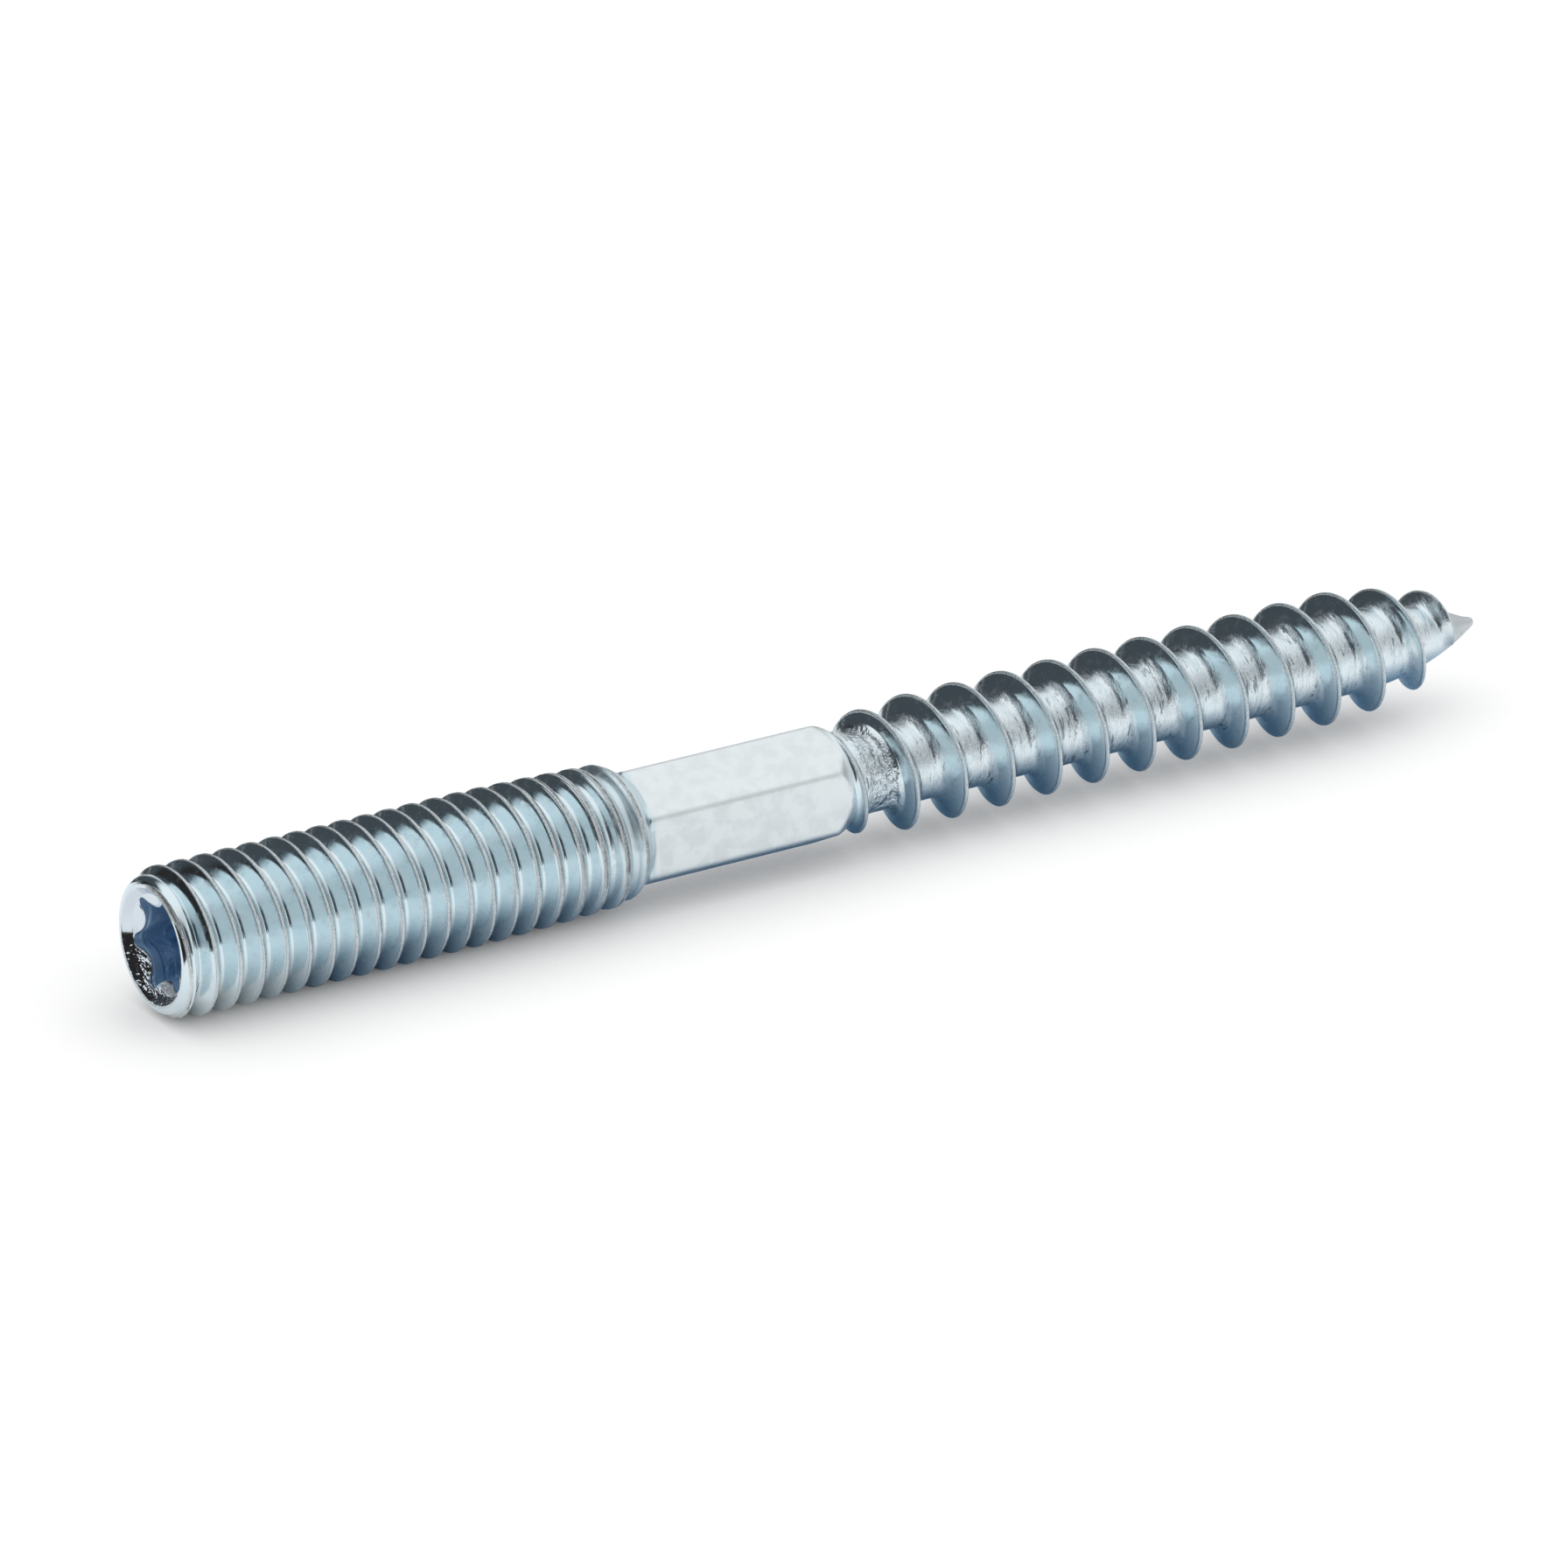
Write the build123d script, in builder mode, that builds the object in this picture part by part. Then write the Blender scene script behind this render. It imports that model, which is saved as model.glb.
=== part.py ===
"""A hanger bolt: machine thread on one end, wood screw on the other, wrench hexagon between.

The bolt lies along +X. The origin is on its axis, in the plane of the socket end. Angles
about the axis are counted from the top (+Z) towards -Y, the way a right-hand thread
advances along +X.
"""
from build123d import *
from math import atan2, ceil, cos, degrees, radians, sin, sqrt, tan
import os

bolt_length = 60.0

# Machine thread, M6 x 1, at its plated size and two thirds of its full depth
machine_major = 5.9
machine_depth = 0.36
machine_pitch = 1.0
machine_crest_start = 0.95
machine_end = 20.0
run_out_start = 13.5
run_out_drop = 0.21
root_rise_start = 17.0
root_rise = 0.05

# Rolled rim, dish and six-lobe socket of the driving end
rim_radius = 2.7
rim_rounding = 0.28
rim_land = 0.14
rim_width = 0.4
rim_chamfer = 0.14
dish_bevel = 0.30
dish_angle = 18.0
socket_tips = 3.92
socket_waist = 2.80
socket_lobe_radius = 0.30
socket_depth = 3.4
socket_turn = 45.0
drill_angle = 118.0
drill_step = 0.1
drill_flat = 0.15

# Wrench hexagon and the shoulders at its ends
shoulder_length = 1.0
seam_step = 0.05
hex_flats = 4.3
hex_corner_radius = 0.3
hex_end = 29.6
hex_bevel = 30.0
neck_radius = 1.93
neck_length = 0.5

# Wood thread
wood_major = 5.14
wood_core = 3.22
wood_pitch = 2.17
wood_flank = 35.0
wood_crest_start = 29.7
wood_lead_in = 3.1
core_start = 31.3

# Tapered point
point_length = 5.9
nib_radius = 0.18
ridge_shrink = 0.28
ridge_drop = 0.95
ridge_end = 1.25

machine_radius = machine_major / 2
machine_root = machine_radius - machine_depth
wood_radius = wood_major / 2
core_radius = wood_core / 2
point_start = bolt_length - point_length
point_drop = core_radius - nib_radius
ogive_radius = (point_length ** 2 + point_drop ** 2) / (2 * point_drop)
ridge_stop = bolt_length - ridge_end

land_radius = rim_radius - rim_rounding
rim_middle = rim_rounding * cos(radians(45))
dish_radius = land_radius - rim_land
shoulder_radius = machine_radius - run_out_drop + seam_step
hex_inradius = hex_flats / 2
hex_circumradius = hex_inradius / cos(radians(30))
bevel_length = (hex_circumradius - hex_inradius) / tan(radians(hex_bevel))

# Where the lobes and flutes of the socket have their centres, and how far each arc goes
lobe_reach = socket_tips / 2 - socket_lobe_radius
waist_radius = socket_waist / 2
flute_radius = (
    waist_radius ** 2 + lobe_reach ** 2 - socket_lobe_radius ** 2
    - 2 * waist_radius * lobe_reach * cos(radians(30))
) / (2 * (lobe_reach * cos(radians(30)) + socket_lobe_radius - waist_radius))
flute_reach = waist_radius + flute_radius
lobe_half = degrees(atan2(flute_reach / 2, flute_reach * cos(radians(30)) - lobe_reach))
flute_half = lobe_half - 30
drill_radius = waist_radius - drill_step
drill_depth = (drill_radius - drill_flat) / tan(radians(drill_angle / 2))


def share(x: float, start: float, end: float) -> float:
    """Return how far x has gone from start to end, held between 0 and 1."""
    return min(max((x - start) / (end - start), 0.0), 1.0)


def core_at(x: float) -> float:
    """Return the radius of the wood screw's core, which ends in a tangent ogive."""
    run = min(max(x - point_start, 0.0), point_length)
    return core_radius - ogive_radius + sqrt(ogive_radius ** 2 - run ** 2)


def machine_root_at(x: float) -> float:
    """Return the radius of the machine thread's root, which rises at the run-out."""
    return machine_root + root_rise * share(x, root_rise_start, machine_end)


def machine_section(x: float) -> list[tuple[float, float]]:
    """Return one pitch of the machine thread as (distance from its crest, radius) points.

    The crest is lower where the thread starts behind the rim and where it runs out.
    """
    start_drop = machine_radius - rim_radius + seam_step
    worn = run_out_drop * share(x, run_out_start, machine_end) ** 1.5
    worn += start_drop * (1 - share(x, rim_width, rim_width + machine_pitch / 2))
    half_pitch = machine_pitch / 2
    return [(-half_pitch, machine_root_at(x - half_pitch)), (0, machine_radius - worn)]


def wood_section(x: float) -> list[tuple[float, float]]:
    """Return one pitch of the wood thread as (distance from its crest, radius) points.

    The ridge climbs out of the neck, keeps its height, shrinks along the point and ends.
    """
    height = wood_radius - core_radius
    climb = share(x, wood_crest_start, wood_crest_start + wood_lead_in)
    shrink = share(x, point_start - wood_pitch / 2, ridge_stop - wood_pitch / 2)
    ending = share(x, ridge_stop - wood_pitch / 2, ridge_stop)
    tall = height - (wood_radius - hex_inradius) * (1 - climb)
    tall *= (1 - ridge_shrink * shrink) * (1 - ridge_drop * ending)
    foot = tall * tan(radians(wood_flank))
    return [(-foot, core_at(x - foot)), (0, core_at(x) + tall), (foot, core_at(x + foot))]


def helical_edge(start: Vector, end: Vector, turned: float, sweep: float) -> Edge:
    """Wind an edge about the X axis between two (x, radius) points.

    The edge starts at the angle turned and goes through sweep degrees, on a cylinder or,
    where the two radii differ, on a cone.
    """
    run = end.X - start.X
    cone = degrees(atan2(end.Y - start.Y, run))
    pitch = run * 360 / sweep / cos(radians(cone))
    return Rot(X=turned) * Edge.make_helix(pitch, run, start.Y, (start.X, 0, 0), (1, 0, 0), cone)


def threaded_rod(pitch: float, first: float, last: float, steps: int, section) -> Solid:
    """Build a rod with one thread, core and ridge together, from its helical surfaces.

    The section of one pitch is asked for in steps to each turn, so that the ridge can rise,
    taper and end. Each surface is ruled between two neighbouring edges, and the last edge
    of a turn is joined to the first of the next. Both ends are helicoids down to the axis,
    closed by a flat step one pitch long.
    """
    sweep = 360 / steps
    count = steps * ceil((last - first) / pitch)
    crests = [first + pitch * k / steps for k in range(count + 1)]
    rows = [[Vector(x + along, radius) for along, radius in section(x)] for x in crests]
    lines = [
        [helical_edge(a, b, k * sweep, sweep) for a, b in zip(rows[k], rows[k + 1])]
        for k in range(count)
    ]

    def place(k: int, j: int) -> Vector:
        """Return point j of section k in space."""
        angle = radians(k * sweep)
        point = rows[k][j]
        return Vector(point.X, -point.Y * sin(angle), point.Y * cos(angle))

    def helicoid(edge: Edge) -> Face:
        """Rule a surface from an edge straight down to the axis."""
        axis = Edge.make_line(((edge @ 0).X, 0, 0), ((edge @ 1).X, 0, 0))
        return Face.make_surface_from_curves(edge, axis)

    def step_face(points: list[Vector]) -> Face:
        """Close one end's step with a flat face through the axis."""
        feet = [Vector(points[-1].X, 0, 0), Vector(points[0].X, 0, 0)]
        return Face(Wire.make_polygon(points + feet, close=True))

    faces = []
    for k, row in enumerate(lines):
        faces += [Face.make_surface_from_curves(a, b) for a, b in zip(row, row[1:])]
        if k + steps < count:
            faces.append(Face.make_surface_from_curves(row[-1], lines[k + steps][0]))
    faces += [helicoid(row[0]) for row in lines[:steps]]
    faces += [helicoid(row[-1]) for row in lines[-steps:]]
    width = len(rows[0])
    faces.append(step_face([place(0, j) for j in range(width)] + [place(steps, 0)]))
    opening = [place(count - steps, width - 1)]
    faces.append(step_face(opening + [place(count, j) for j in range(width)]))
    return Solid(Shell(Face.sew_faces(faces)[0]))


machine_rod = threaded_rod(
    machine_pitch,
    machine_crest_start - 2 * machine_pitch,
    machine_end + 2 * machine_pitch,
    2,
    machine_section,
)
wood_rod = threaded_rod(
    wood_pitch,
    wood_crest_start,
    ridge_stop + wood_pitch,
    3,
    wood_section,
)

with BuildPart() as hanger_bolt:
    # Machine thread, cut square where the rim and the shoulder take over
    add(machine_rod)
    split(bisect_by=Plane.YZ.offset(rim_width), keep=Keep.TOP)
    split(bisect_by=Plane.YZ.offset(machine_end), keep=Keep.BOTTOM)

    # Wrench hexagon, its corners turned off at the wood end
    with BuildSketch(Plane.YZ.offset(machine_end)) as hexagon:
        RegularPolygon(hex_circumradius, 6, rotation=90)
        fillet(hexagon.vertices(), hex_corner_radius)
    extrude(amount=hex_end - machine_end)
    with BuildSketch(Plane.XZ):
        with BuildLine():
            Polyline(
                (hex_end - bevel_length, hex_circumradius),
                (hex_end, hex_inradius),
                (hex_end + neck_length, hex_circumradius),
                close=True,
            )
        make_face()
    revolve(axis=Axis.X, mode=Mode.SUBTRACT)

    # Wood thread, cut square where the plain point takes over
    add(wood_rod)
    split(bisect_by=Plane.YZ.offset(ridge_stop), keep=Keep.BOTTOM)

    # Rim, shoulder, neck and point, turned about the axis
    with BuildSketch(Plane.XZ):
        with BuildLine():
            Polyline(
                (0, 0),
                (0, land_radius),
                (rim_rounding - rim_middle, land_radius + rim_middle),
                (rim_rounding, rim_radius),
                (rim_width, rim_radius),
                (rim_width + rim_chamfer, rim_radius - rim_chamfer),
                (rim_width + rim_chamfer, 0),
                close=True,
            )
        make_face()
        with BuildLine():
            Polyline(
                (machine_end, 0),
                (machine_end, shoulder_radius),
                (machine_end + shoulder_length, hex_inradius - seam_step),
                (machine_end + shoulder_length, 0),
                close=True,
            )
        make_face()
        with BuildLine():
            Polyline(
                (hex_end, 0),
                (hex_end, hex_inradius),
                (hex_end + neck_length, neck_radius),
                (core_start, core_radius - seam_step),
                (core_start, 0),
                close=True,
            )
        make_face()
        with BuildLine():
            Polyline(
                (ridge_stop, 0),
                (ridge_stop, core_at(ridge_stop) - seam_step),
                (bolt_length, nib_radius),
                (bolt_length, 0),
                close=True,
            )
        make_face()
    revolve(axis=Axis.X)

    # Dish in the socket end, with a steep bevel inside the rim
    with BuildSketch(Plane.XZ):
        with BuildLine():
            Polyline(
                (0, 0),
                (0, dish_radius),
                (dish_bevel, dish_radius - dish_bevel),
                (dish_bevel + (dish_radius - dish_bevel) * tan(radians(dish_angle)), 0),
                close=True,
            )
        make_face()
    revolve(axis=Axis.X, mode=Mode.SUBTRACT)

    # Six-lobe socket: rounded lobes and hollow flutes in turn, each arc tangent to the next
    with BuildSketch(Plane.YZ):
        with BuildLine():
            for k in range(6):
                lobe = 60 * k + 90 - socket_turn
                flute = lobe + 30
                lobe_centre = Vector(lobe_reach, 0).rotate(Axis.Z, lobe)
                flute_centre = Vector(flute_reach, 0).rotate(Axis.Z, flute)
                CenterArc(lobe_centre, socket_lobe_radius, lobe - lobe_half, 2 * lobe_half)
                CenterArc(flute_centre, flute_radius, flute + 180 - flute_half, 2 * flute_half)
        make_face()
    extrude(amount=socket_depth, mode=Mode.SUBTRACT)
    with BuildSketch(Plane.XZ):
        with BuildLine():
            Polyline(
                (socket_depth, 0),
                (socket_depth, drill_radius),
                (socket_depth + drill_depth, drill_flat),
                (socket_depth + drill_depth, 0),
                close=True,
            )
        make_face()
    revolve(axis=Axis.X, mode=Mode.SUBTRACT)

hanger_bolt.part.label = "hanger_bolt"
os.makedirs("parts", exist_ok=True)
export_step(hanger_bolt.part, "parts/hanger_bolt.step")
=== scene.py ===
"""Dress the hanger bolt: rolled machine thread, socket, hexagon, wood thread and point.

The meshes are shaped in millimetres and scaled to metres once the bolt is whole. It lies
along +X with its socket end at x = 0. Angles about its axis are counted from the top (+Z)
towards -Y, the way the right-hand threads advance along +X.
"""
import logging
from collections.abc import Callable
from dataclasses import dataclass, field
from math import atan2, cos, pi, radians, sin, sqrt, tan, tau
from typing import TypeAlias

import bmesh
import bpy
from mathutils import Matrix, Vector, noise


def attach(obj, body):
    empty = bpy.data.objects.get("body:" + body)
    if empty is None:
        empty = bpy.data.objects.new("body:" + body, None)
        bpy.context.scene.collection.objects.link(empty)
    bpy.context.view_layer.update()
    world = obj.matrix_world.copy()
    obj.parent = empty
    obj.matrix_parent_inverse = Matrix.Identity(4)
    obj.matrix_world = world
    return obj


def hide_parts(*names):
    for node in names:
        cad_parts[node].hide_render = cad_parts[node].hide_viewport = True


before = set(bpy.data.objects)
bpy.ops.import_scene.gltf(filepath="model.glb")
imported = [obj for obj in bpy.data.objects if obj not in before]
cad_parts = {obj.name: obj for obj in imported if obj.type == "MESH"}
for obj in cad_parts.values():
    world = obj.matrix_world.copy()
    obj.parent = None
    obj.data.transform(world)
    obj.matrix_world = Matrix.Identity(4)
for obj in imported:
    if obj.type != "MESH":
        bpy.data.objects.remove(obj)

log = logging.getLogger("hanger_bolt")

MILLIMETRE = 0.001
SIXTH = radians(60)

Place: TypeAlias = Callable[[int, float], tuple[float, float, float]]
Colour: TypeAlias = tuple[float, float, float]
Number: TypeAlias = "Signal | float"


def share(value: float, start: float, end: float) -> float:
    """Return how far a value has gone from start to end, held between 0 and 1."""
    return min(max((value - start) / (end - start), 0.0), 1.0)


def eased(value: float, start: float, end: float) -> float:
    """Return share() with a soft start and a soft end."""
    part = share(value, start, end)
    return part * part * (3 - 2 * part)


def smooth_min(first: float, second: float, blend: float) -> float:
    """Return the lower of two heights, with the crease between them filled round.

    Args:
        first: one height.
        second: the other height.
        blend: how near the two must be before the rounding starts.

    Returns:
        The lower height, a quarter of blend lower where the two are equal.
    """
    near = max(blend - abs(first - second), 0.0) / blend
    return min(first, second) - near * near * blend / 4


def smooth_max(first: float, second: float, blend: float) -> float:
    """Return the higher of two heights, with the crease between them filled round."""
    return -smooth_min(-first, -second, blend)


def angle_of(point: Vector) -> float:
    """Return a point's angle about the axis, from the top towards -Y, from 0 to a turn."""
    return atan2(-point.y, point.z) % tau


def on_axis(x: float, radius: float, angle: float) -> Vector:
    """Return the point at a place along the axis, a radius and an angle."""
    return Vector((x, -radius * sin(angle), radius * cos(angle)))


def row_of_edges(mesh: bmesh.types.BMesh, places: list[float]) -> None:
    """Lay a row of edges along the axis at unit radius, ready to be spun.

    Args:
        mesh: the mesh that the row goes into.
        places: where along the axis the row's vertices lie.
    """
    row = [mesh.verts.new((x, 0, 1)) for x in places]
    for start, end in zip(row, row[1:]):
        mesh.edges.new((start, end))


def spun_rings(count: int, segments: int, place: Place) -> bmesh.types.BMesh:
    """Spin a stack of rings about the axis and move each vertex to its place.

    Args:
        count: how many rings the stack has.
        segments: how many vertices each ring has.
        place: takes a ring's number and an angle, and gives x, radius and angle.

    Returns:
        An open tube of quads.
    """
    mesh = bmesh.new()
    row_of_edges(mesh, [float(ring) for ring in range(count)])
    bmesh.ops.spin(
        mesh, geom=mesh.verts[:] + mesh.edges[:], cent=(0, 0, 0), axis=(1, 0, 0),
        dvec=(0, 0, 0), angle=tau, steps=segments, use_merge=True,
    )
    for vertex in mesh.verts:
        vertex.co = on_axis(*place(round(vertex.co.x), angle_of(vertex.co)))
    return mesh


def close_end(mesh: bmesh.types.BMesh, beyond: float) -> None:
    """Fill the open end of a tube that lies beyond a place along the axis.

    Args:
        mesh: the tube.
        beyond: the place, with no other open edge past it.
    """
    edges = [e for e in mesh.edges if e.is_boundary and e.verts[0].co.x > beyond]
    bmesh.ops.holes_fill(mesh, edges=edges, sides=0)


def new_object(name: str, mesh: bmesh.types.BMesh) -> bpy.types.Object:
    """Turn a bmesh into an object in the scene, and free the bmesh.

    Args:
        name: the object's name.
        mesh: its shape, in metres.

    Returns:
        The object, at the origin.
    """
    data = bpy.data.meshes.new(name)
    mesh.to_mesh(data)
    mesh.free()
    item = bpy.data.objects.new(name, data)
    bpy.context.scene.collection.objects.link(item)
    return item


@dataclass(frozen=True)
class RolledThread:
    """A right-hand thread, wound as a tube whose rows of quads follow its crest."""

    first_crest: float
    pitch: float
    start: float
    end: float
    segments: int
    stations: tuple[float, ...]

    def surface(self, x: float, angle: float) -> float:
        """Return the bolt's radius at a place along the axis and an angle."""
        raise NotImplementedError

    def off_crest(self, x: float, angle: float) -> float:
        """Return the distance along the axis from the nearest crest."""
        turns = (x - self.first_crest) / self.pitch - angle / tau
        return abs((turns - round(turns)) * self.pitch)

    def build(self) -> bmesh.types.BMesh:
        """Wind the rows, cut the ends square and push each vertex out to the surface.

        Returns:
            The thread's stretch of the bolt, open at both ends.
        """
        mesh = bmesh.new()
        below = int((self.first_crest - self.start) / self.pitch) + 2
        turns = int((self.end - self.start) / self.pitch) + 4
        origin = self.first_crest - below * self.pitch
        half = [*self.stations, self.pitch / 2]
        row = [-s for s in reversed(half)] + [0.0] + half
        row_of_edges(mesh, [origin + s for s in row])
        bmesh.ops.spin(
            mesh, geom=mesh.verts[:] + mesh.edges[:], cent=(0, 0, 0), axis=(1, 0, 0),
            dvec=(self.pitch / self.segments, 0, 0), angle=tau, steps=self.segments,
            use_merge=False,
        )
        turn = mesh.verts[:] + mesh.edges[:] + mesh.faces[:]
        for number in range(1, turns):
            copy = bmesh.ops.duplicate(mesh, geom=turn)["geom"]
            moved = [item for item in copy if isinstance(item, bmesh.types.BMVert)]
            bmesh.ops.translate(mesh, verts=moved, vec=(number * self.pitch, 0, 0))
        bmesh.ops.remove_doubles(mesh, verts=mesh.verts[:], dist=1e-4)
        self._cut(mesh, self.start, 1)
        self._cut(mesh, self.end, -1)
        for vertex in mesh.verts:
            angle = angle_of(vertex.co)
            vertex.co = on_axis(vertex.co.x, self.surface(vertex.co.x, angle), angle)
        return mesh

    @staticmethod
    def _cut(mesh: bmesh.types.BMesh, x: float, keep: int) -> None:
        """Cut the tube square at x and keep the side that keep points to."""
        bmesh.ops.bisect_plane(
            mesh, geom=mesh.verts[:] + mesh.edges[:] + mesh.faces[:], dist=1e-5,
            plane_co=(x, 0, 0), plane_no=(keep, 0, 0), clear_inner=True,
        )


@dataclass(frozen=True)
class MachineThread(RolledThread):
    """The rolled machine thread, its worn crests and its run-out into the shoulder."""

    first_crest: float = 0.95
    pitch: float = 1.0
    start: float = 0.42
    end: float = 20.55
    segments: int = 84
    stations: tuple[float, ...] = (
        0.022, 0.045, 0.07, 0.1, 0.16, 0.25, 0.32, 0.355, 0.39, 0.425,
    )
    radius: float = 2.95
    root: float = 2.32
    flank: float = 30.0
    crest_half: float = 0.06
    crest_round: float = 0.05
    root_round: float = 0.14
    wear: float = 0.004
    run_out_wear: float = 0.02
    wear_radius: float = 2.9
    wear_scales: tuple[float, float] = (3.1, 9.0)
    deepest_wear: float = -0.3
    seam_half: float = 0.045
    seam_depth: float = 0.02
    run_out_seam: float = 1.2
    rim_radius: float = 2.7
    rim_back: float = 0.40
    rim_slope: float = 1.1
    rim_blend: float = 0.03
    lead_start: float = 0.2
    lead_end: float = 0.6
    lead_drop: float = 0.3
    lead_slope: float = 0.6
    run_out: float = 13.5
    run_out_end: float = 20.0
    run_out_drop: float = 0.21
    run_out_curve: float = 1.5
    root_climb_start: float = 16.5
    root_climb: float = 0.13
    shoulder_radius: float = 2.76
    shoulder_start: float = 19.85
    shoulder_clear: float = 2.0
    shoulder_slope: float = 0.5
    shoulder_knee: float = 20.3
    knee_slope: float = 0.35
    shoulder_round: float = 0.05

    def crest(self, x: float) -> float:
        """Return the crest's radius, lower behind the rim and along the run-out.

        Args:
            x: the place along the axis.

        Returns:
            The radius of an unworn crest.
        """
        gone = share(x, self.run_out, self.run_out_end) ** self.run_out_curve
        lead = self.lead_drop * (1 - share(x, self.lead_start, self.lead_end))
        lead += self.lead_slope * max(self.lead_start - x, 0.0)
        return self.radius - self.run_out_drop * gone - lead

    def shoulder(self, x: float) -> float:
        """Return the radius of the cone that ends the thread, which steepens at its knee.

        Args:
            x: the place along the axis.

        Returns:
            The cone's radius, well outside the thread before the cone starts.
        """
        clear = self.shoulder_clear * max(self.shoulder_start - x, 0.0)
        fall = self.shoulder_slope * max(x - self.shoulder_start, 0.0)
        fall += self.knee_slope * max(x - self.shoulder_knee, 0.0)
        return self.shoulder_radius + clear - fall

    def ridge(self, x: float, angle: float) -> float:
        """Return the thread's radius before the rim and the shoulder take over.

        Args:
            x: the place along the axis.
            angle: the angle about the axis.

        Returns:
            The radius, with the worn crest, its rolled seam and the rounded root.
        """
        off = self.off_crest(x, angle)
        worn = eased(x, self.run_out, self.run_out_end)
        spot = on_axis(x, self.wear_radius, angle)
        rough = sum(noise.noise(spot * scale) for scale in self.wear_scales) / 2
        wear = (self.wear + self.run_out_wear * worn) * max(rough, self.deepest_wear)
        crest = self.crest(x) - wear
        seam = self.seam_depth * (1 + self.run_out_seam * worn)
        seam *= max(1 - off / self.seam_half, 0.0)
        flank = self.radius - (off - self.crest_half) / tan(radians(self.flank))
        root = self.root + self.root_climb * eased(x, self.root_climb_start, self.run_out_end)
        top = smooth_min(flank, crest - seam, self.crest_round)
        return smooth_max(top, root, self.root_round)

    def surface(self, x: float, angle: float) -> float:
        """Return the bolt's radius where the thread is, from the rim to the shoulder.

        Args:
            x: the place along the axis.
            angle: the angle about the axis.

        Returns:
            The radius.
        """
        rim = self.rim_radius - self.rim_slope * (x - self.rim_back)
        height = smooth_max(self.ridge(x, angle), rim, self.rim_blend)
        return smooth_min(height, self.shoulder(x), self.shoulder_round)


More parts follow.
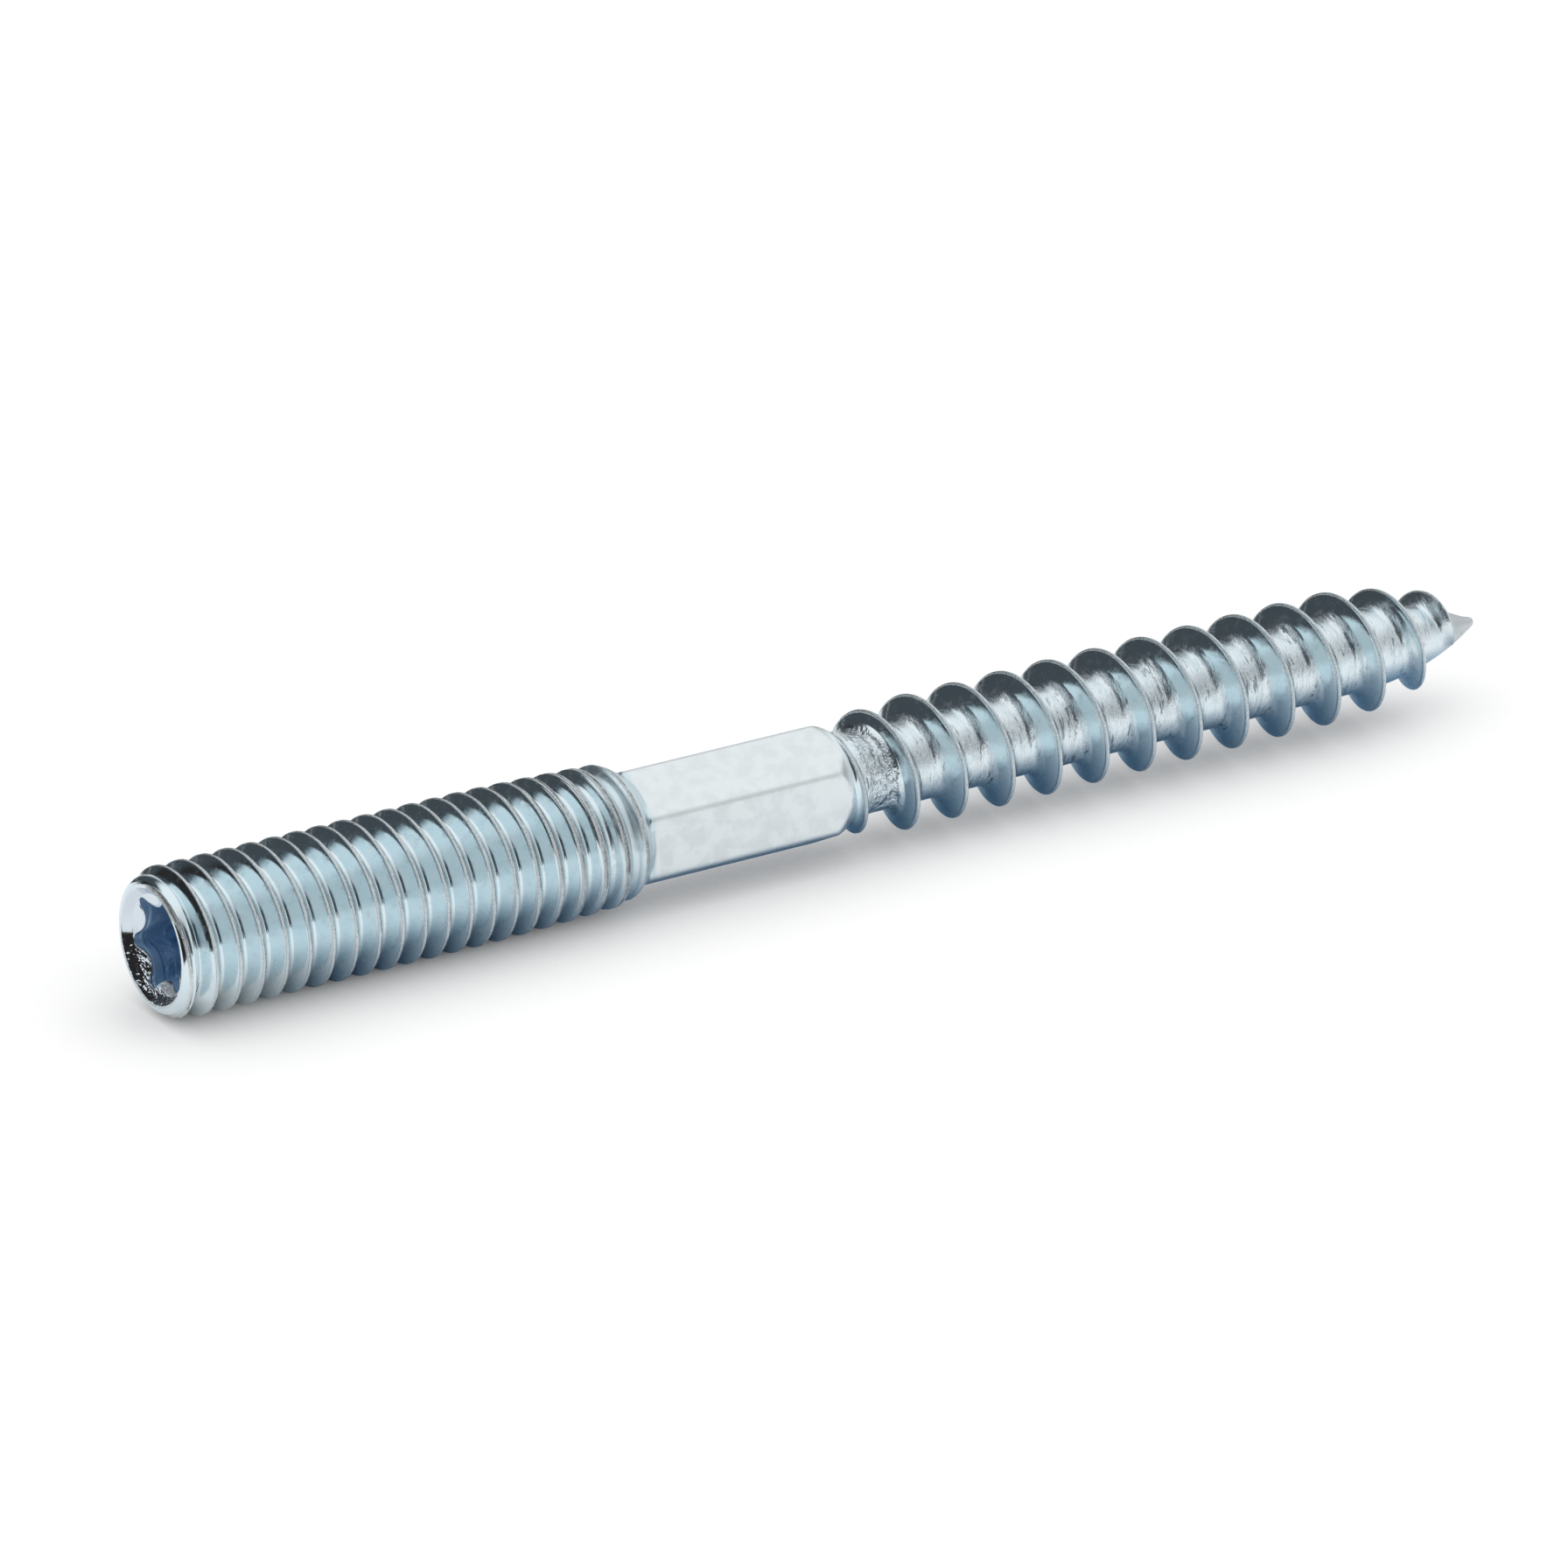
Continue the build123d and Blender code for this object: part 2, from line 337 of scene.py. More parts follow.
@dataclass(frozen=True)
class DrivingEnd:
    """The rolled rim, the dish inside it and the six-lobe socket."""

    thread: MachineThread
    rounding: float = 0.28
    rounding_depth: float = 0.38
    land: float = 0.14
    bevel_depth: float = 0.30
    bevel_crown: float = 0.008
    dish_radius: float = 1.98
    dish_angle: float = 18.0
    lobe_tip: float = 1.96
    lobe_round: float = 0.30
    waist: float = 1.40
    turned: float = 45.0
    depth: float = 3.4
    floor_angle: float = 118.0
    edge_round: float = 0.05
    burr: float = 0.10
    burr_middle: float = 205.0
    burr_full: float = 25.0
    burr_end: float = 55.0
    burr_waves: float = 9.0
    rim_steps: int = 10
    segments: int = 192

    def socket_radius(self, angle: float) -> float:
        """Return the radius of the six-lobe outline, whose lobes and flutes are tangent arcs.

        Args:
            angle: the angle about the axis.

        Returns:
            The radius of the socket's wall.
        """
        reach = self.lobe_tip - self.lobe_round
        slant = reach * cos(SIXTH / 2)
        flute = (self.waist ** 2 + reach ** 2 - self.lobe_round ** 2 - 2 * self.waist * slant) / (
            2 * (slant + self.lobe_round - self.waist)
        )
        flute_reach = self.waist + flute
        normal = atan2(flute_reach / 2, flute_reach * cos(SIXTH / 2) - reach)
        tangent = atan2(self.lobe_round * sin(normal), reach + self.lobe_round * cos(normal))
        off = abs((angle + radians(self.turned) + SIXTH / 2) % SIXTH - SIXTH / 2)
        if off <= tangent:
            return reach * cos(off) + sqrt(self.lobe_round ** 2 - (reach * sin(off)) ** 2)
        off = SIXTH / 2 - off
        return flute_reach * cos(off) - sqrt(flute ** 2 - (flute_reach * sin(off)) ** 2)

    def dish_depth(self, radius: float) -> float:
        """Return how deep the dish is at a radius."""
        return self.bevel_depth + (self.dish_radius - radius) * tan(radians(self.dish_angle))

    def burr_height(self, angle: float) -> float:
        """Return how far the punched burr stands up along the socket's edge.

        Args:
            angle: the angle about the axis.

        Returns:
            The burr's height, 0 away from its middle.
        """
        off = abs((angle - radians(self.burr_middle) + pi) % tau - pi)
        left = 1 - share(off, radians(self.burr_full), radians(self.burr_end))
        uneven = 0.5 + noise.noise(on_axis(0.0, self.burr_waves, angle))
        return self.burr * left * max(uneven, 0.0)

    def rim_profile(self) -> list[tuple[float, float]]:
        """Return the turned part of the end.

        Returns:
            Points of x and radius, from the rim's back over its rounding, across the land
            and down the slightly crowned bevel to the dish.
        """
        crown = self.thread.rim_radius - self.rounding
        profile = [(self.thread.rim_back, self.thread.rim_radius)]
        for step in range(self.rim_steps + 1):
            around = radians(90 * step / self.rim_steps)
            profile.append((
                self.rounding_depth * (1 - sin(around)), crown + self.rounding * cos(around),
            ))
        inner = crown - self.land
        profile += [(0.0, crown - 0.4 * self.land), (0.0, inner + 0.03)]
        for part in (0.03, 0.1, 0.35, 0.65, 0.9, 0.97):
            x = self.bevel_depth * part + self.bevel_crown * sin(pi * part)
            profile.append((x, inner + (self.dish_radius - inner) * part))
        return profile

    def build(self) -> bmesh.types.BMesh:
        """Spin the rim, the dish and the socket down to its drilled floor.

        Returns:
            The end, closed but for the rim's back.
        """
        rim = self.rim_profile()
        # How far each ring is along its surface: inwards, round the edge, down, inwards
        dish = (0.0, 0.06, 0.2, 0.4, 0.6, 0.8, 0.93)
        edge = (0.0, 0.35, 0.7, 1.0)
        wall = (0.3, 0.65, 0.97, 1.0)
        floor = (0.9, 0.6, 0.3, 0.02)

        def place(ring: int, angle: float) -> tuple[float, float, float]:
            """Give a ring of the end its place.

            Args:
                ring: the ring's number, counted from the rim's back.
                angle: the angle about the axis.

            Returns:
                x, radius and angle.
            """
            if ring < len(rim):
                x, radius = rim[ring]
                if x > 0.08 and radius > self.dish_radius + self.bevel_depth:
                    ridge = self.thread.ridge(x, angle)
                    radius = smooth_max(radius, ridge, self.thread.rim_blend)
                return x, radius, angle
            outline = self.socket_radius(angle)
            ring -= len(rim)
            if ring < len(dish):
                reach = outline + self.edge_round - self.dish_radius
                radius = self.dish_radius + reach * dish[ring]
                radius = min(radius, self.dish_radius - 0.002 * ring)
                return self.dish_depth(radius), radius, angle
            ring -= len(dish)
            lip = self.dish_depth(outline)
            if ring < len(edge):
                around = edge[ring] * pi / 2
                x = lip + self.edge_round * (1 - cos(around))
                x -= self.burr_height(angle) * sin(around + pi / 4)
                return x, outline + self.edge_round * (1 - sin(around)), angle
            ring -= len(edge)
            if ring < len(wall):
                top = lip + self.edge_round
                return top + (self.depth - top) * wall[ring], outline, angle
            part = floor[ring - len(wall)]
            sunk = self.waist * (1 - part) / tan(radians(self.floor_angle / 2))
            return self.depth + sunk, min(outline, self.waist) * part, angle

        count = len(rim) + len(dish) + len(edge) + len(wall) + len(floor)
        mesh = spun_rings(count, self.segments, place)
        deepest = max(vertex.co.x for vertex in mesh.verts)
        close_end(mesh, deepest - 1e-3)
        return mesh


@dataclass(frozen=True)
class WrenchHexagon:
    """The hexagon, its shoulder cone, its rounded corners and its turned-off end."""

    inradius: float = 2.15
    corner_round: float = 0.3
    start: float = 20.6
    end: float = 29.55
    plain_start: float = 21.75
    front_gap: float = 0.05
    plain_gap: float = 0.45
    back_gap: float = 0.0625
    shoulder_radius: float = 2.4
    shoulder_start: float = 20.5
    shoulder_slope: float = 0.85
    shoulder_round: float = 0.06
    bevel: float = 30.0
    bevel_end: float = 29.6
    bevel_round: float = 0.08
    segments: int = 144
    gather: float = 0.55

    def section(self, angle: float) -> float:
        """Return the radius of the plain hexagon with its rounded corners.

        Args:
            angle: the angle about the axis.

        Returns:
            The radius.
        """
        off = abs((angle + SIXTH / 2) % SIXTH - SIXTH / 2)
        centre = (self.inradius - self.corner_round) / cos(SIXTH / 2)
        if centre * tan(off) <= self.corner_round / 2:
            return centre * cos(off) + sqrt(self.corner_round ** 2 - (centre * sin(off)) ** 2)
        return self.inradius / cos(SIXTH / 2 - off)

    def surface(self, x: float, angle: float) -> float:
        """Return the hexagon's radius, with its shoulder and its bevel.

        Args:
            x: the place along the axis.
            angle: the angle about the axis.

        Returns:
            The radius.
        """
        shoulder = self.shoulder_radius - self.shoulder_slope * (x - self.shoulder_start)
        height = smooth_max(self.section(angle), shoulder, self.shoulder_round)
        bevel = self.inradius + (self.bevel_end - x) * tan(radians(self.bevel))
        return smooth_min(height, bevel, self.bevel_round)

    def build(self) -> bmesh.types.BMesh:
        """Spin the rings and gather their vertices at the six corners.

        Returns:
            The hexagon, open at both ends.
        """
        places = [self.start + self.front_gap * k for k in range(20)]
        places += [self.plain_start + self.plain_gap * k for k in range(15)]
        places += [self.end - self.back_gap * k for k in reversed(range(21))]

        def place(ring: int, angle: float) -> tuple[float, float, float]:
            """Give a ring of the hexagon its x, radius and gathered angle."""
            angle -= self.gather * sin(6 * angle) / 6
            return places[ring], self.surface(places[ring], angle), angle

        return spun_rings(len(places), self.segments, place)


@dataclass(frozen=True)
class WoodThread(RolledThread):
    """The wood thread with its deep flanks, its run-in at the neck and its point."""

    first_crest: float = 29.69
    pitch: float = 2.171
    start: float = 29.6
    end: float = 58.95
    segments: int = 112
    stations: tuple[float, ...] = (
        0.03, 0.06, 0.1, 0.17, 0.26, 0.36, 0.45, 0.53, 0.61, 0.7, 0.82, 0.95,
    )
    radius: float = 2.57
    core: float = 1.61
    flank: float = 29.0
    crest_half: float = 0.05
    crest_round: float = 0.07
    fillet: float = 0.24
    wear: float = 0.006
    wear_radius: float = 2.5
    wear_scale: float = 2.3
    neck_radius: float = 1.93
    neck_slope: float = 0.44
    neck_start: float = 30.1
    neck_end: float = 31.4
    neck_curve: float = 1.6
    run_in_radius: float = 2.13
    run_in_start: float = 29.7
    run_in_end: float = 32.8
    run_in_curve: float = 1.1
    fall: float = 0.87
    fall_start: float = 53.15
    fall_length: float = 4.8
    fall_curve: float = 1.6
    last_full: float = 57.9
    last_trace: float = 58.75
    point_start: float = 54.1
    length: float = 60.0
    nib: float = 0.10
    tip_rings: tuple[float, ...] = (
        59.0, 59.15, 59.3, 59.45, 59.6, 59.7, 59.8, 59.88, 59.94, 59.98, 60.0,
    )
    tip_segments: int = 64
    tip_flare: float = 0.08
    flare_start: float = 59.5
    flare_end: float = 59.93
    tip_blunt: float = 0.3
    blunt_start: float = 59.94

    def core_at(self, x: float) -> float:
        """Return the core's radius, from the neck to the tangent ogive of the point.

        Args:
            x: the place along the axis.

        Returns:
            The radius of the bolt under the thread.
        """
        if x < self.neck_start:
            return self.neck_radius - self.neck_slope * (x - self.neck_start)
        if x < self.point_start:
            left = 1 - share(x, self.neck_start, self.neck_end)
            return self.core + (self.neck_radius - self.core) * left ** self.neck_curve
        run = self.length - self.point_start
        drop = self.core - self.nib
        ogive = (run ** 2 + drop ** 2) / (2 * drop)
        return self.core - ogive + sqrt(ogive ** 2 - (x - self.point_start) ** 2)

    def crest(self, x: float) -> float:
        """Return the crest's radius, which climbs at the neck and falls along the point.

        Args:
            x: the place along the axis.

        Returns:
            The radius of an unworn crest.
        """
        part = share(x, self.run_in_start, self.run_in_end) ** self.run_in_curve
        climb = self.run_in_radius + (self.radius - self.run_in_radius) * part
        gone = max(x - self.fall_start, 0.0) / self.fall_length
        return climb - self.fall * gone ** self.fall_curve

    def surface(self, x: float, angle: float) -> float:
        """Return the wood thread's radius.

        Args:
            x: the place along the axis.
            angle: the angle about the axis.

        Returns:
            The radius, with the crest's slight wear and the fillets at the core.
        """
        core = self.core_at(x)
        ending = 1 - eased(x, self.last_full, self.last_trace)
        spot = on_axis(x, self.wear_radius, angle) * self.wear_scale
        crest = self.crest(x) - self.wear * noise.noise(spot)
        top = core + (crest - core) * ending
        flank = top + (self.crest_half - self.off_crest(x, angle)) / tan(radians(self.flank))
        height = smooth_min(flank, top, self.crest_round)
        return smooth_max(height, core, self.fillet * ending + 0.02)

    def build_tip(self) -> bmesh.types.BMesh:
        """Spin the plain tip, slightly pinched, and close its end.

        Returns:
            The tip, closed but for its back.
        """
        def place(ring: int, angle: float) -> tuple[float, float, float]:
            """Give a ring of the tip its place.

            Args:
                ring: the ring's number.
                angle: the angle about the axis.

            Returns:
                x, radius and angle.
            """
            x = self.tip_rings[ring]
            upwards = max(cos(angle), 0.0)
            flare = self.tip_flare * eased(x, self.flare_start, self.flare_end) * upwards
            blunt = self.tip_blunt * share(x, self.blunt_start, self.length) ** 2
            return x, (self.core_at(x) + flare) * (1 - blunt), angle

        mesh = spun_rings(len(self.tip_rings), self.tip_segments, place)
        close_end(mesh, self.length - 0.01)
        return mesh


class Signal:
    """A number that varies over a surface, used in Python expressions."""

    def __init__(self, graph: "Graph", socket: bpy.types.NodeSocket) -> None:
        """Wrap a socket of a graph."""
        self.graph = graph
        self.socket = socket

    def __add__(self, other: Number) -> "Signal":
        """Return the sum."""
        return self.graph.maths("ADD", self, other)

    __radd__ = __add__

    def __sub__(self, other: Number) -> "Signal":
        """Return the difference."""
        return self.graph.maths("SUBTRACT", self, other)

    def __rsub__(self, other: Number) -> "Signal":
        """Return the difference from a plain number."""
        return self.graph.maths("SUBTRACT", other, self)

    def __mul__(self, other: Number) -> "Signal":
        """Return the product."""
        return self.graph.maths("MULTIPLY", self, other)

    __rmul__ = __mul__

    def __truediv__(self, other: Number) -> "Signal":
        """Return the quotient."""
        return self.graph.maths("DIVIDE", self, other)

    def __neg__(self) -> "Signal":
        """Return the number with its sign turned."""
        return self.graph.maths("MULTIPLY", self, -1.0)

    def __abs__(self) -> "Signal":
        """Return the size without its sign."""
        return self.graph.maths("ABSOLUTE", self)

    def __pow__(self, power: float) -> "Signal":
        """Return the number to a power."""
        return self.graph.maths("POWER", self, power)


class Graph:
    """The nodes of one finish, with one way to add every kind of node."""

    def __init__(self, tree: bpy.types.NodeTree) -> None:
        """Start with an empty tree."""
        self.tree = tree
        tree.nodes.clear()

    def node(
        self, kind: str, settings: dict | None = None, inputs: dict | None = None,
    ) -> bpy.types.Node:
        """Add a node, set its settings and then fill its inputs.

        Args:
            kind: the node's type.
            settings: attributes by name.
            inputs: values, sockets or signals by an input's name or number.

        Returns:
            The new node.
        """
        node = self.tree.nodes.new(kind)
        for name, value in (settings or {}).items():
            setattr(node, name, value)
        for name, value in (inputs or {}).items():
            self.feed(node.inputs[name], value)
        return node

    def feed(self, socket: bpy.types.NodeSocket, value: object) -> None:
        """Link a signal or a socket to an input, or set the input to a plain value.

        Args:
            socket: the input.
            value: a signal, a socket, a number, a vector or a colour.
        """
        if isinstance(value, Signal):
            value = value.socket
        if isinstance(value, bpy.types.NodeSocket):
            self.tree.links.new(value, socket)
        elif socket.type == "RGBA" and len(value) == 3:
            socket.default_value = (*value, 1.0)
        else:
            socket.default_value = value

    def maths(self, operation: str, *values: Number) -> Signal:
        """Add a Math node over signals and plain numbers."""
        node = self.node("ShaderNodeMath", {"operation": operation}, dict(enumerate(values)))
        return Signal(self, node.outputs[0])

    def step(self, value: Number, start: float, end: float) -> Signal:
        """Add a smooth step, which may also run downwards.

        Args:
            value: the signal that is stepped.
            start: where the result is 0.
            end: where it is 1, above or below start.

        Returns:
            A signal from 0 to 1.
        """
        low, high = min(start, end), max(start, end)
        first, last = (0.0, 1.0) if start < end else (1.0, 0.0)
        node = self.node(
            "ShaderNodeMapRange", {"interpolation_type": "SMOOTHSTEP", "clamp": True},
            {"Value": value, "From Min": low, "From Max": high, "To Min": first, "To Max": last},
        )
        return Signal(self, node.outputs["Result"])

    def blend(self, amount: Number, first: object, second: object) -> bpy.types.NodeSocket:
        """Mix two colours by an amount."""
        node = self.node("ShaderNodeMix", {"data_type": "RGBA"}, {0: amount, 6: first, 7: second})
        return node.outputs[2]

    def cloud(
        self, vector: object, scale: float, detail: float = 3.0, roughness: float = 0.5,
    ) -> Signal:
        """Add a noise texture.

        Args:
            vector: the place, in mm.
            scale: how many of its clouds go into a millimetre.
            detail: how many finer layers it has.
            roughness: how strong the finer layers are.

        Returns:
            Its value, near 0.5 on the whole.
        """
        node = self.node(
            "ShaderNodeTexNoise", {"noise_dimensions": "3D"},
            {"Vector": vector, "Scale": scale, "Detail": detail, "Roughness": roughness},
        )
        return Signal(self, node.outputs[0])

    def stretch(self, vector: object, factors: tuple[float, float, float]) -> bpy.types.NodeSocket:
        """Scale a vector by three factors."""
        node = self.node("ShaderNodeVectorMath", {"operation": "MULTIPLY"}, {0: vector, 1: factors})
        return node.outputs[0]


def new_material(name: str) -> tuple[bpy.types.Material, Graph]:
    """Make a material.

    Args:
        name: its name.

    Returns:
        The material and its empty graph.
    """
    material = bpy.data.materials.new(name)
    material.use_nodes = True
    return material, Graph(material.node_tree)


class Regions:
    """The bolt's stretches and the marks on them, each a signal from 0 to 1."""

    def __init__(self, graph: Graph, bolt: "HangerBolt") -> None:
        """Find the stretches by their place on the bolt, in mm.

        Args:
            graph: the finish's nodes.
            bolt: the bolt, for its sizes.
        """
        self.graph = graph
        self.spot = graph.stretch(
            graph.node("ShaderNodeTexCoord").outputs["Object"], (1 / MILLIMETRE,) * 3,
        )
        axes = graph.node("ShaderNodeSeparateXYZ", inputs={0: self.spot})
        x, y, z = (Signal(graph, axes.outputs[k]) for k in range(3))
        radius = graph.maths("SQRT", y * y + z * z)
        self.x, self.turn = x, graph.maths("ARCTAN2", -y, z) / tau

        # The bolt's stretches, from the socket to the tip
        end, hexagon, wood = bolt.end, bolt.hexagon, bolt.wood
        threaded = graph.step(x, hexagon.start - 0.2, hexagon.start - 0.4)
        wooden = graph.step(x, wood.start, wood.start + 0.3)
        self.hexagonal = graph.step(x, hexagon.start, hexagon.start + 0.4)
        self.hexagonal = self.hexagonal * graph.step(x, wood.start + 0.3, wood.start - 0.1)
        sunk = x + (radius - end.dish_radius) * tan(radians(end.dish_angle)) - end.bevel_depth
        self.inside = graph.step(radius, end.dish_radius + 0.02, end.dish_radius - 0.01)
        self.inside = self.inside * graph.step(sunk, 0.02, 0.07) * graph.step(x, 6.0, 5.0)
        self.dished = graph.step(radius, 2.4, 2.3) * graph.step(x, 1.0, 0.9) - self.inside
        self.lower = graph.step(z, -0.2, -1.0)
        self.last_turn = graph.step(x, 18.4, 19.3) * graph.step(x, 20.9, 20.7)
        self.root = graph.step(radius, 2.0, 1.74) * wooden * graph.step(x, 59.2, 58.0)
        self.neck = self.root * graph.step(x, 30.1, 30.6) * graph.step(x, 32.8, 32.0)
        self.tip = graph.step(x, 57.4, 59.0) * graph.step(radius, 1.5, 1.0)

        # The marks that the plating has all over
        self.fine = graph.cloud(self.spot, 9.0, 3.0, 0.6)
        self.grain = graph.cloud(self.spot, 28.0, 2.0, 0.6)
        self.patches = graph.cloud(self.spot, 1.6, 3.0, 0.55)
        self.flakes = graph.cloud(graph.stretch(self.spot, (3.4, 0.6, 0.6)), 1.9, 4.0, 0.65)
        self.frost = graph.step(graph.cloud(self.spot, 2.2, 4.0, 0.7), 0.47, 0.66)
        self.frost = self.frost * graph.step(x, 0.5, 0.9) * (1.0 - self.hexagonal)
        self._mark_threads(bolt, threaded, wooden)

    def _mark_threads(self, bolt: "HangerBolt", threaded: Signal, wooden: Signal) -> None:
        """Find the crests, the rolled seams along them and the flaked root.

        Args:
            bolt: the bolt, for its threads' helices.
            threaded: where the machine thread is.
            wooden: where the wood thread is.
        """
        graph = self.graph
        machine_off = self._off_crest(bolt.machine)
        wood_off = self._off_crest(bolt.wood)
        # The crest's band grows wider along the run-out
        self.worn = graph.step(self.x, 13.0, 19.5)
        self.machine_crest = graph.step(abs(machine_off) - 0.05 * self.worn, 0.085, 0.055)
        self.machine_crest = self.machine_crest * threaded
        self.wood_crest = graph.step(abs(wood_off), 0.11, 0.07) * wooden

        # Short stretches of painted shade beside a crest: a dark colour along the groove of the
        # seam that rolling leaves there
        broken = graph.step(graph.cloud(self.spot, 1.1, 2.0), 0.4, 0.6)
        machine_seam_shade = graph.step(abs(machine_off - 0.05), 0.035, 0.015) * threaded
        wood_seam_shade = graph.step(abs(wood_off - 0.085), 0.03, 0.015) * wooden
        self.seam = (machine_seam_shade + wood_seam_shade) * broken
        self.speck = self.machine_crest * (0.3 + 0.4 * self.worn) + self.wood_crest * 0.25
        self.speck = self.speck * graph.step(self.grain, 0.50, 0.40)

        # The core is flaked in places, and everywhere near the neck
        uneven = graph.step(graph.cloud(self.spot, 0.5, 2.0), 0.35, 0.6)
        uneven = graph.maths("MAXIMUM", uneven, graph.step(self.x, 33.5, 31.5))
        self.flaked = self.root * (0.35 + 0.65 * uneven)
        self.crack = graph.step(self.flakes, 0.42, 0.36) * self.flaked

    def _off_crest(self, thread: RolledThread) -> Signal:
        """Return the distance along the axis from a thread's nearest crest, signed."""
        turns = (self.x - thread.first_crest) / thread.pitch - self.turn
        return (self.graph.maths("FRACT", turns + 100.5) - 0.5) * thread.pitch


@dataclass(frozen=True)
class BrightZinc:
    """Blue-white zinc plating: glossy on the rolled threads, satin on the hexagon."""

    zinc: Colour = (0.66, 0.785, 0.835)
    bare: Colour = (0.80, 0.82, 0.83)
    root: Colour = (0.75, 0.81, 0.845)
    # Dark colour of the root's cracks and the crest specks, also laid along the rolled seam as
    # painted shade in its groove
    crack: Colour = (0.16, 0.20, 0.23)
    satin: Colour = (0.765, 0.815, 0.83)
    dish: Colour = (0.66, 0.73, 0.79)
    point: Colour = (0.53, 0.575, 0.60)
    socket: Colour = (0.58, 0.78, 0.98)
    relief: float = 0.00002

    def material(self, bolt: "HangerBolt") -> bpy.types.Material:
        """Make the finish.

        Args:
            bolt: the bolt, for the places and sizes of its stretches.

        Returns:
            The material for the whole bolt.
        """
        material, graph = new_material("bright_zinc")
        on = Regions(graph, bolt)
        bump = graph.node("ShaderNodeBump", inputs={
            "Strength": 0.5, "Distance": self.relief, "Height": self._height(graph, on),
        })
        shader = graph.node("ShaderNodeBsdfPrincipled", inputs={
            "Base Color": self._colour(graph, on), "Metallic": 1.0,
            "Roughness": self._roughness(graph, on), "Normal": bump.outputs[0],
        })
        graph.node("ShaderNodeOutputMaterial", inputs={"Surface": shader.outputs[0]})
        return material

    def _colour(self, graph: Graph, on: Regions) -> bpy.types.NodeSocket:
        """Lay the colours over each other, from the plain zinc to the socket's blue sheen.

        Args:
            graph: the finish's nodes.
            on: where each colour shows.

        Returns:
            The colour's socket.
        """
        crests = on.machine_crest * 0.6 + on.wood_crest * 0.35
        colour = graph.blend(graph.step(on.patches, 0.35, 0.65) * 0.25, self.zinc, self.bare)
        colour = graph.blend(on.hexagonal * 0.9, colour, self.satin)
        colour = graph.blend(on.flaked * 0.8, colour, self.root)
        colour = graph.blend(crests, colour, self.bare)
        # The seam's share of this dark colour is painted shade in its groove; the cracks and specks
        # are the plating's own marks
        colour = graph.blend(on.crack * 0.85 + on.seam * 0.7 + on.speck, colour, self.crack)
        colour = graph.blend(on.tip, colour, self.point)
        colour = graph.blend(on.dished, colour, self.dish)
        return graph.blend(on.inside, colour, self.socket)

    @staticmethod
    def _roughness(graph: Graph, on: Regions) -> Signal:
        """Add up the roughness: plain plating, frosted patches, worn crests and the rest.

        Args:
            graph: the finish's nodes.
            on: where each sort of roughness is.

        Returns:
            The roughness.
        """
        rough = 0.10 + 0.04 * graph.step(on.fine, 0.3, 0.7) + on.frost * 0.17
        rough = rough + on.hexagonal * (0.20 + 0.12 * graph.step(on.patches, 0.4, 0.6))
        rough = rough + on.machine_crest * (0.08 + 0.2 * on.worn) + on.wood_crest * 0.08
        rough = rough + on.last_turn * 0.25 + on.flaked * 0.12
        return rough + on.inside * 0.4 + on.dished * 0.02 + on.tip * 0.22

    @staticmethod
    def _height(graph: Graph, on: Regions) -> Signal:
        """Add up the relief: fine grain, crumpled neck, dented dish, flakes and crests.

        Args:
            graph: the finish's nodes.
            on: where each sort of relief is.

        Returns:
            The height, in parts of the relief.
        """
        crumpled = graph.cloud(on.spot, 2.4, 3.0, 0.6) * on.neck
        dented = graph.cloud(on.spot, 3.2, 2.0, 0.6) * on.dished * on.lower
        height = on.fine * 0.18 + crumpled * 26.0 + dented * 12.0
        height = height + on.flakes * on.flaked * 6.0
        return height + on.grain * (on.machine_crest + on.wood_crest) * 4.0


@dataclass
class HangerBolt:
    """The whole bolt, one closed mesh from the rim to the tip."""

    machine: MachineThread = field(default_factory=MachineThread)
    hexagon: WrenchHexagon = field(default_factory=WrenchHexagon)
    wood: WoodThread = field(default_factory=WoodThread)
    finish: BrightZinc = field(default_factory=BrightZinc)
    seam_reach: float = 0.03
    end: DrivingEnd = field(init=False)

    def __post_init__(self) -> None:
        """Give the machine thread its driving end."""
        self.end = DrivingEnd(self.machine)

    def seams(self) -> list[float]:
        """Find the narrow gaps that the stretches are bridged across.

        Returns:
            The middle of each gap, along the axis.
        """
        backs = (self.machine.rim_back, self.machine.end, self.hexagon.end, self.wood.end)
        fronts = (
            self.machine.start, self.hexagon.start, self.wood.start, self.wood.tip_rings[0],
        )
        return [(back + front) / 2 for back, front in zip(backs, fronts)]

    def build(self) -> bpy.types.Object:
        """Join the stretches into one closed mesh and place it in the scene.

        Returns:
            The bolt, not dressed yet.
        """
        mesh = bmesh.new()
        stretches = (
            self.end.build(), self.machine.build(), self.hexagon.build(),
            self.wood.build(), self.wood.build_tip(),
        )
        carrier = bpy.data.meshes.new("stretch")
        for stretch in stretches:
            stretch.to_mesh(carrier)
            mesh.from_mesh(carrier)
            stretch.free()
        bpy.data.meshes.remove(carrier)
        for x in self.seams():
            seam = [
                edge for edge in mesh.edges
                if edge.is_boundary and all(abs(v.co.x - x) < self.seam_reach for v in edge.verts)
            ]
            bmesh.ops.bridge_loops(mesh, edges=seam)
        bmesh.ops.recalc_face_normals(mesh, faces=mesh.faces[:])
        bmesh.ops.scale(mesh, vec=(MILLIMETRE,) * 3, verts=mesh.verts[:])
        for face in mesh.faces:
            face.smooth = True
        open_edges = sum(not edge.is_manifold for edge in mesh.edges)
        bolt = new_object("bolt", mesh)
        log.info("bolt: %d faces, %d open edges", len(bolt.data.polygons), open_edges)
        return bolt

    def dress(self, bolt: bpy.types.Object) -> None:
        """Give the bolt its plating and its place in the frame.

        Args:
            bolt: the bolt's object.
        """
        bolt.data.materials.append(self.finish.material(self))
        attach(bolt, "root")
        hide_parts("hanger_bolt")


